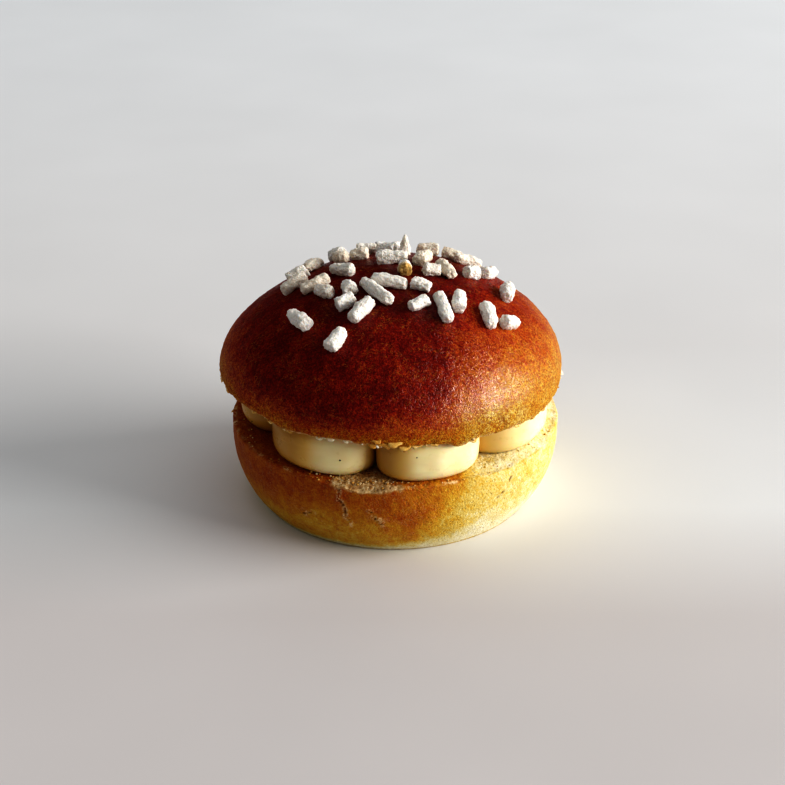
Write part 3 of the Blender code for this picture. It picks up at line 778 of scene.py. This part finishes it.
def nib(length, girth, number):
    """One nib about its own centre, its length along X: a blunt rod of fused crystals."""
    girth *= NIB_GIRTH
    rod = bmesh.new()
    bmesh.ops.create_cube(rod, size=2)
    bmesh.ops.subdivide_edges(rod, edges=rod.edges, cuts=NIB_CUTS, use_grid_fill=True)
    seed = 11.3 + number * 3.7
    roundness = 0.26 + 0.05 * (number * 5 % 6)
    standing = number == len(SET_GRAINS)
    for point in rod.verts:
        x, y, z = point.co
        disc = Vector((x, y * math.sqrt(1 - z * z / 2), z * math.sqrt(1 - y * y / 2)))
        ball = Vector((x * math.sqrt(1 - y * y / 2 - z * z / 2 + y * y * z * z / 3),
                       y * math.sqrt(1 - z * z / 2 - x * x / 2 + z * z * x * x / 3),
                       z * math.sqrt(1 - x * x / 2 - y * y / 2 + x * x * y * y / 3)))
        shape = Vector((x, y, z)).lerp(disc, 0.92).lerp(ball, roundness)
        thin = 1 - 0.8 * smooth(-0.3, 1, x) if standing else 1 - 0.12 * x * math.sin(seed)
        spot = Vector((shape.x * length / 2, shape.y * girth * thin / 2, shape.z * girth * thin / 2))
        middle = Vector((spot.x, 0, 0))
        bend = Vector((0, lumpy(middle, 4 * MM, seed), lumpy(middle, 4 * MM, seed + 5)))
        out = ball.normalized()
        lumps = lumpy(spot, 2.6 * MM, seed + 9) * 0.30 + lumpy(spot, 1.2 * MM, seed + 2) * 0.26
        crystal = noise.voronoi(spot / (0.62 * MM) + Vector((seed, 0, 0)))[0][0]
        grit = lumpy(spot, 0.5 * MM, seed + 4) * 0.16
        point.co = spot + bend * 0.25 * MM + out * (lumps + (0.35 - crystal) * 0.24 + grit) * MM
    return rod


def sugar_nibs(finish):
    """All the nibs as one mesh."""
    whole = bmesh.new()
    caramel, = marks(whole, "caramel")
    for number, (grain_frame, length, girth) in enumerate(laid_grains()):
        centre = grain_frame.translation
        warmth = 0.04 + NIB_WARMTH * (0.5 + 0.5 * math.sin(number * 7.3)) * smooth(-14 * MM, 2 * MM, centre.y)
        for point in join(whole, nib(length, girth, number), grain_frame):
            toward_front = smooth(-0.3, 0.5, (centre.y - point.co.y) / girth)
            point[caramel] = toward_front if number == CARAMEL_GRAIN else warmth
    piece_from("sugar_nibs", whole, finish)


# ---- the cream
def cream_reach(number, share):
    across = abs(2 * share ** (math.log(0.5) / math.log(MOUND_PEAKS[number])) - 1)
    dip = 1 - max(0.0, 1 - across**MOUND_POWER) ** (1 / MOUND_POWER)
    before = MOUND_REACH[number - 1]
    after = MOUND_REACH[(number + 1) % len(MOUND_REACH)]
    own = MOUND_REACH[number]
    neighbour = before if share < 0.5 else after
    meeting = min(own, neighbour) - CLEFT_DEPTH
    return CREAM_RADIUS + own + (meeting - own) * dip


def cream_mounds(finish):
    low, high = LOWER_CUT_HEIGHT + CONTACT_GAP * 0.4, UPPER_CUT_HEIGHT - CONTACT_GAP * 0.4
    levels = [2 * level / CREAM_LEVELS - 1 for level in range(CREAM_LEVELS + 1)]
    profile = [(0, -1), (0.6, -1), (0.85, -1), (0.95, -1)] + [(1, level) for level in levels]
    profile += [(0.95, 1), (0.85, 1), (0.6, 1), (0, 1)]
    steps = MOUND_STEPS * len(MOUND_EDGES)
    body = turned(profile, steps)
    painted_shade, = marks(body, "painted_shade")  # painted shade: darker custard in the clefts, on each mound's side away from the window and on the mounds in shade
    for point in body.verts:
        x, y, level = point.co
        inward = math.hypot(x, y)
        step = round(bearing_of(x, y) / 360 * steps) % steps
        number, part = divmod(step, MOUND_STEPS)
        share = (1 - math.cos(math.pi * part / MOUND_STEPS)) / 2
        first, last = (*MOUND_EDGES, MOUND_EDGES[0] + 360)[number:number + 2]
        reach = cream_reach(number, share)
        degrees = first + (last - first) * share
        rounder = max(0.0, CREAM_RADIUS - reach) / CLEFT_DEPTH
        reach = (reach - CREAM_TUCK * (1 + 1.6 * rounder) * abs(level) ** (4 - 1.5 * rounder)) * inward
        spot = from_bearing(degrees, reach)
        bottom = low + cut_rise(LOWER_CUT_SLOPE, spot.x, spot.y)
        top = high + cut_rise(UPPER_CUT_SLOPE, spot.x, spot.y)
        spot += Vector((AXIS_SHIFT, 0, bottom + (top - bottom) * (level + 1) / 2))
        # Painted shade: the cream is darkened in its clefts, on each mound's side away from the window and on
        # the mounds in shade
        pressed = smooth(0.0, 0.9, (CREAM_RADIUS - reach) / CLEFT_DEPTH) if inward > 0.9 else 0.5
        facing = smooth(0.45, 0.08, share)  # the side of a mound that hides from the window
        point[painted_shade] = max(round_the_cake(CLEFT_PAINTED_SHADE, degrees) * max(pressed, 0.85 * facing),
                          round_the_cake(CREAM_PAINTED_SHADE, degrees))
        if inward > 0.99:
            flat = Vector((spot.x, spot.y, spot.z * 2.2))
            wobble = 0.22 * lumpy(spot, 5 * MM, 1) + 0.07 * lumpy(flat, 2.2 * MM, 6)
            spot += from_bearing(degrees, 1) * wobble * MM * (1 - abs(level) ** 4)
        point.co = spot
    skin = skin_of(body)
    piece_from("cream_mounds", body, finish, ["cream_filling"])
    return skin


# ---- the lower half
def lower_profile():
    top = LOWER_CUT_HEIGHT
    edge = LOWER_RADIUS - RIM_ROUNDING
    profile = [(radius, 0) for radius in along(0, BASE_RADIUS, 8)]
    profile += [(lower_side(height), height) for height in along(0, top - RIM_ROUNDING, SIDE_STEPS)]
    profile += [(edge + RIM_ROUNDING * math.cos(angle), top - RIM_ROUNDING * (1 - math.sin(angle)))
                for angle in along(0, math.pi / 2, 3)]
    profile += [(radius, top) for radius in along(edge, LOWER_HIDDEN, 20) + along(LOWER_HIDDEN, 0, 8)]
    return profile + [(0, top)]


def bare_crumb(degrees, spot, below):
    """How much of the crumb shows here, this far below the cut: 0 to 1."""
    bare = max(bell(wrapped(degrees - at), half_width) for at, half_width in BARE_CRUMB)
    spill = below / MM + 0.9 * lumpy(spot, 1.4 * MM, 12)
    return smooth(0.3, 0.55, bare + 0.3 * lumpy(spot, 2.2 * MM, 14)) * (1 - smooth(0.3, 1.3, spill))


def lower_crust(finish):
    top = LOWER_CUT_HEIGHT
    edge = LOWER_RADIUS - RIM_ROUNDING
    body = turned(lower_profile(), ROUND_STEPS)
    bake, crumb, flaky, crease = marks(body, "bake", "crumb", "flaky", "crease")
    for point in body.verts:
        x, y, z = point.co
        if z == 0:
            point[bake] = HIDDEN_BAKE
            point.co = Vector((x + AXIS_SHIFT, y, 0))
            continue
        reach = math.hypot(x, y)
        degrees = bearing_of(x, y)
        near_rim = min(1.0, max(0.0, (reach - CREAM_RADIUS) / (edge - CREAM_RADIUS)))
        near_cut = (z / top) ** 8
        lift = rim_wave(LOWER_RIM_WAVES, degrees) + torn_edge(LOWER_TEARS, x, y, z)
        spot = from_bearing(degrees, reach + lobed(LOWER_LOBES, degrees) * reach / LOWER_RADIUS)
        spot.z = z + (near_rim * lift + cut_rise(LOWER_CUT_SLOPE, x, y)) * near_cut
        worn = round_the_cake(WORN_RIM, degrees) * MM
        point[crumb] = bare_crumb(degrees, spot, top - z)
        point[bake] = lower_bake(degrees, z)
        if z > top - 0.01 * MM:
            spot.z -= worn * smooth(32.5 * MM, edge + 0.4 * MM, reach) ** 1.5
            point[bake] -= WORN_FADE * smooth(0.2 * MM, 0.8 * MM, worn)
            hole = noise.voronoi(spot / MM)[0][0] - 0.4
            pitted = (PIT_DEPTH[0] + PIT_DEPTH[1] * point[crumb]) * hole + 0.16 * lumpy(spot, 0.8 * MM, 3)
            spot.z += pitted * MM * smooth(24 * MM, 30 * MM, reach)
            point[flaky] = smooth(edge - 0.5 * MM, edge, reach) * rim_flakes(spot)
        else:
            spot.z -= worn * near_cut
            gap, lip = crack_at(degrees, z, reach, spot)
            point[flaky] = max(lip, (1 - smooth(0.1, 0.7, z / MM)) * smooth(0, 0.4, lumpy(spot, 4 * MM, 33)),
                               smooth(top - 0.5 * MM, top, z) * rim_flakes(spot))
            dent = min(nearest(LOWER_CREASES, degrees, z, reach), gap * 2)
            point[crease] = bell(dent, 0.7 * CRACK_WIDTH) * smooth(-0.3, 0.2, lumpy(spot, 0.9 * MM, 2))
            sunk = CRACK_DEPTH * (bell(gap, 0.5 * CRACK_WIDTH) + point[crease])
            hole = noise.voronoi(spot / (1.1 * MM) + Vector((5, 0, 0)))[0][0] - 0.4
            swells = layered(LOWER_SWELLS, spot) + LIP_RISE * point[flaky] - sunk + 0.10 * hole * point[crumb]
            spot += from_bearing(degrees, 1) * swells * MM * smooth(0, 1.2 * MM, z)
        point.co = spot + Vector((AXIS_SHIFT, 0, 0))
    skin = skin_of(body)
    piece_from("lower_crust", body, finish, ["lower_half"])
    return skin


def rim_flakes(spot):
    """Patches of the lower rim that flake, 0 to 1."""
    return smooth(-0.05, 0.4, lumpy(spot, 3 * MM, 21))


def crack_at(degrees, height, reach, spot):
    """How far the nearest crack is, and how much of its broken lip is here."""
    wander = lumpy(spot, 1.6 * MM, 51)
    gap = nearest(LOWER_CRACKS, degrees + 1.3 * wander, height + 0.4 * wander * MM, reach)
    return gap, bell(gap - CRACK_WIDTH, 0.7 * CRACK_WIDTH) * smooth(-0.4, 0.1, lumpy(spot, 1.3 * MM, 31))


def lower_bake(degrees, height):
    """How brown the lower half is here: brown above a wavy line, its own gold below it, paler at the foot."""
    tone = round_the_cake(LOWER_TONE, degrees)
    brown = smooth(-5 * MM, 7 * MM, height - round_the_cake(LOWER_BROWN, degrees) * MM)
    foot = smooth(0, round_the_cake(PALE_FOOT, degrees) * MM, height)
    return (tone + (round_the_cake(LOWER_DARK, degrees) - tone) * brown) * foot - FOOT_FADE * (1 - foot)


# ---- crumbs, torn flakes and vanilla
def rim_height(degrees):
    return UPPER_CUT_HEIGHT + rim_wave(UPPER_RIM_WAVES, degrees) + UPPER_CUT_SLOPE[0] * math.cos(
        math.radians(degrees - UPPER_CUT_SLOPE[1]))


def seat_on(skin, bearing, height):
    """Where the skin is at this height as seen from outside, and the way it faces there."""
    out = from_bearing(bearing, 1)
    return skin.ray_cast(out * OUTSIDE + Vector((CENTRE_SHIFT, 0, height)), -out)[:2]


def crumb_bit(size, seed):
    bit = bmesh.new()
    bmesh.ops.create_icosphere(bit, subdivisions=2, radius=size / 2)
    for point in bit.verts:
        point.co *= 1 + 0.5 * lumpy(point.co, size * 0.7, seed)
        point.co.z *= 0.75
    return bit


def scattered_crumbs(rng):
    """(rim or ledge, bearing, rise or reach, size, bake) for each crumb."""
    for bearing, size, tint in SET_RIM_CRUMBS:
        yield "rim", bearing, 0.25 * MM, size * MM, tint
    for _ in range(LEDGE_CRUMBS):
        front = rng.random() < 0.5
        bearing = rng.gauss(-9, 13) if front else rng.uniform(-180, 180)
        reach = rng.uniform(*LEDGE_REACH)
        yield "ledge", bearing, reach, rng.triangular(0.18, 0.62, 0.3) * MM, rng.uniform(0.1, 0.65)
    for _ in range(RIM_CRUMBS):
        bearing = rng.uniform(-180, 180)
        rise = rng.uniform(0.1, 0.9) * MM
        yield "rim", bearing, rise, rng.triangular(0.18, 0.6, 0.28) * MM, rng.uniform(0.15, 0.8)


def crumbs(upper_skin, lower_skin):
    rng = random.Random(CRUMB_SEED)
    for number, (where, bearing, measure, size, tint) in enumerate(scattered_crumbs(rng)):
        turn = Matrix.Rotation(rng.uniform(0, 6.28), 4, "Z") @ Matrix.Rotation(rng.uniform(-0.6, 0.6), 4, "X")
        if where == "ledge":
            between = Vector((CENTRE_SHIFT + AXIS_SHIFT, 0, UPPER_CUT_HEIGHT - 2 * MM))
            above = from_bearing(bearing, measure) + between
            place, facing = lower_skin.ray_cast(above, Vector((0, 0, -1)))[:2]
        else:
            place, facing = seat_on(upper_skin, bearing, rim_height(bearing) + measure)
        if place is not None:
            yield crumb_bit(size, number * 1.7), Matrix.Translation(place + facing * size * 0.22) @ turn, tint


def torn_bit(length, width, curl, seed):
    """A thin curled flake in its own frame: X along the rim, Y outwards, Z up."""
    sheet = bmesh.new()
    bmesh.ops.create_grid(sheet, x_segments=8, y_segments=4, size=0.5)
    for point in sheet.verts:
        x, y = point.co.x, point.co.y
        ragged = 1 + 0.5 * lumpy(Vector((x * 3, seed, 0)), 1.0, seed) - 2.6 * x * x
        reach = (y + 0.5) * width * ragged
        angle = curl * (y + 0.5)
        rise = 0.16 * lumpy(Vector((x * 3, y * 3, seed)), 1.0) * MM
        point.co = Vector((x * length, reach * math.cos(angle), reach * math.sin(angle) * -1 + rise))
    bmesh.ops.solidify(sheet, geom=sheet.faces[:], thickness=FLAKE_THICKNESS)
    bmesh.ops.recalc_face_normals(sheet, faces=sheet.faces)
    return sheet


def torn_flakes(upper_skin, lower_skin):
    rng = random.Random(FLAKE_SEED)
    wanted = [("upper", *flake) for flake in UPPER_FLAKES] + [("lower", *flake) for flake in LOWER_FLAKES]
    for _ in range(LOOSE_FLAKES):
        where = rng.choice(("upper", "upper", "lower"))
        bearing = rng.uniform(*LOOSE_FLAKE_BEARINGS)
        wanted.append((where, bearing, rng.uniform(0.1, 0.6), rng.uniform(0.9, 2.2), rng.uniform(0.3, 0.7),
                       rng.uniform(0.5, 1.3), rng.uniform(0.1, 0.5)))
    for number, (where, bearing, rise, length, width, curl, tint) in enumerate(wanted):
        level = rim_height(bearing) if where == "upper" else LOWER_CUT_HEIGHT - 1.2 * MM
        place, _ = seat_on(upper_skin if where == "upper" else lower_skin, bearing, level + rise * MM)
        if place is not None:
            up, out = Vector((0, 0, 1)), from_bearing(bearing, 1)
            axes = Matrix((up.cross(out), out, up)).transposed().to_4x4()
            bit = torn_bit(length * MM, width * MM, curl, number * 2.3)
            yield bit, Matrix.Translation(place - out * 0.15 * MM) @ axes, tint


def vanilla_specks(cream_skin):
    """A few vanilla seeds, half sunk in the cream."""
    rng = random.Random(SPECK_SEED)
    wanted = [SET_SPECK] + [(rng.uniform(-180, 180), rng.uniform(20.5, 26.5), rng.uniform(0.2, 0.36))
                            for _ in range(SPECKS)]
    for number, (bearing, height, size) in enumerate(wanted):
        place, _ = seat_on(cream_skin, bearing, height * MM)
        if place is not None:
            yield crumb_bit(size * MM, number * 3.1), Matrix.Translation(place), 1


# ---- the stage
def table_top():
    sheet = bmesh.new()
    bmesh.ops.create_grid(sheet, x_segments=2, y_segments=2, size=TABLE_HALF)
    mesh = bpy.data.meshes.new("table")
    sheet.to_mesh(mesh)
    sheet.free()
    table = thing("table", mesh)
    mix = Finish("pale_table")
    grain = mix.shades(mix.cloud(60 * MM, 2, 0.5), (0.3, (0.97, 0.97, 0.97)), (0.7, (1, 1, 1)))
    depth = mix.node("SeparateXYZ", {"Vector": mix.place}).outputs["Y"]
    # Painted light and shade: the table darkens towards the front edge, lightens just in front of the cake,
    # darkens behind it, and turns paler and bluer far back as a painted reflection
    painted_light_falloff = mix.shades(mix.span(depth, -0.18, 0.45), (0.10, (0.635, 0.605, 0.595)),
                       (0.175, (0.78, 0.78, 0.775)), (0.36, (0.725, 0.715, 0.71)), (1.0, (0.79, 0.80, 0.81)))
    mesh.materials.append(mix.done(colour=mix.mixed(1.0, painted_light_falloff, grain, "MULTIPLY"), rough=0.8, shine=0.2))


def window_light():
    lamp = bpy.data.lights.new("window", "AREA")
    lamp.shape = "RECTANGLE"
    lamp.size, lamp.size_y = WINDOW_SIZE
    lamp.energy = WINDOW_POWER
    lamp.color = WINDOW_COLOUR
    window = thing("window", lamp)
    height = math.radians(WINDOW_HEIGHT)
    direction = from_bearing(WINDOW_BEARING, math.cos(height)) + Vector((0, 0, math.sin(height)))
    window.location = direction * WINDOW_DISTANCE
    window.rotation_euler = direction.to_track_quat("Z", "Y").to_euler()


def room_light():
    """Even light from all round, brighter towards one side and seen in no gloss."""
    world = bpy.data.worlds.new("room")
    bpy.context.scene.world = world
    world.use_nodes = True
    nodes, links = world.node_tree.nodes, world.node_tree.links
    way = nodes.new("ShaderNodeTexCoord").outputs["Generated"]
    toward = nodes.new("ShaderNodeVectorMath")
    toward.operation = "DOT_PRODUCT"
    toward.inputs[1].default_value = Vector(BRIGHT_SIDE).normalized()
    level = nodes.new("ShaderNodeMapRange")
    level.inputs["From Min"].default_value = -0.1
    level.inputs["To Min"].default_value, level.inputs["To Max"].default_value = ROOM_LIGHT
    links.new(way, toward.inputs[0])
    links.new(toward.outputs["Value"], level.inputs["Value"])
    sky = nodes["Background"]
    sky.inputs["Color"].default_value = (*ROOM_COLOUR, 1)
    links.new(level.outputs["Result"], sky.inputs["Strength"])
    world.cycles_visibility.glossy = False


def studio():
    table_top()
    window_light()
    room_light()
    settings = bpy.context.scene.view_settings
    settings.view_transform = "Standard"
    settings.look = "Very High Contrast"


def camera():
    elevation = math.radians(EYE_ELEVATION)
    away = Vector((0, -EYE_DISTANCE * math.cos(elevation), EYE_DISTANCE * math.sin(elevation)))
    eye = bpy.data.cameras.new("camera")
    eye.sensor_width = SENSOR_WIDTH
    eye.lens = SENSOR_WIDTH * FOCAL_PIXELS / FRAME_PIXELS
    eye.clip_start = 0.01
    watching = thing("camera", eye)
    watching.location = Vector(EYE_AIM) + away
    watching.rotation_euler = (math.pi / 2 - elevation, 0, 0)
    bpy.context.scene.camera = watching


camera()
studio()
upper_skin = upper_crust(browned_crust())
sugar_nibs(pearl_sugar())
cream_skin = cream_mounds(piped_cream())
lower_skin = lower_crust(golden_crust())
torn = torn_dough()
piece_of_bits("crumbs", crumbs(upper_skin, lower_skin), torn)
piece_of_bits("torn_flakes", torn_flakes(upper_skin, lower_skin), torn)
piece_of_bits("vanilla_specks", vanilla_specks(cream_skin), vanilla())

bpy.context.view_layer.update()
